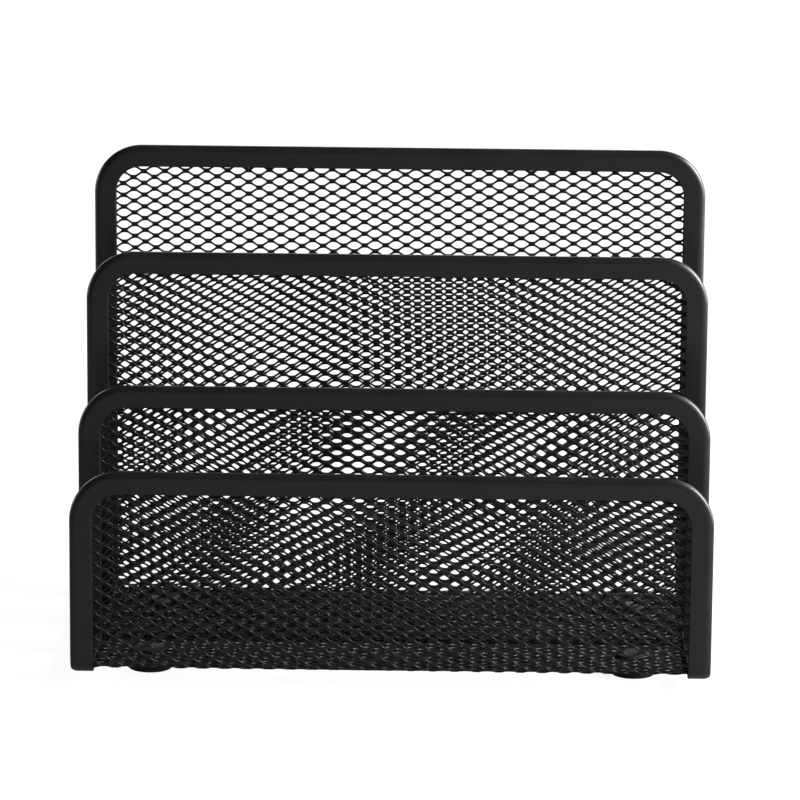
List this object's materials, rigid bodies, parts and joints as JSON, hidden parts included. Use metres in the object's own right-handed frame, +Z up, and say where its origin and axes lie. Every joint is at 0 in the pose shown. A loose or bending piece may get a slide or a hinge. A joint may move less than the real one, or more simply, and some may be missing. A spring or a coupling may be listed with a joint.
{
  "type": "desk organizer",
  "caption": "Free-standing stepped desk organizer for letters and papers: black steel mesh panels on a mesh base, edged with folded channel rims, on small round feet.",
  "frame": {"origin": "On the surface the feet stand on, at the middle of the organizer's width and depth.", "axes": "+X along the width to the organizer's right as seen from the front, +Y from the low front panel to the tall back panel, +Z up."},
  "size_m": [0.2, 0.1052, 0.1548],
  "materials": {
    "rim_paint": "satin",
    "mesh_paint": "satin",
    "foot_rubber": "matte",
    "stud_plastic": "matte"
  },
  "bodies": {
    "root": {"outer_rim": "rim_paint", "mesh_tray": "mesh_paint", "front_divider_rim": "rim_paint", "front_divider_mesh": "mesh_paint", "rear_divider_rim": "rim_paint", "rear_divider_mesh": "mesh_paint", "foot_front_left": "foot_rubber", "foot_front_right": "foot_rubber", "foot_rear_left": "foot_rubber", "foot_rear_right": "foot_rubber", "foot_stud_front_left": "stud_plastic", "foot_stud_front_right": "stud_plastic", "foot_stud_rear_left": "stud_plastic", "foot_stud_rear_right": "stud_plastic"}
  },
  "joints": []
}
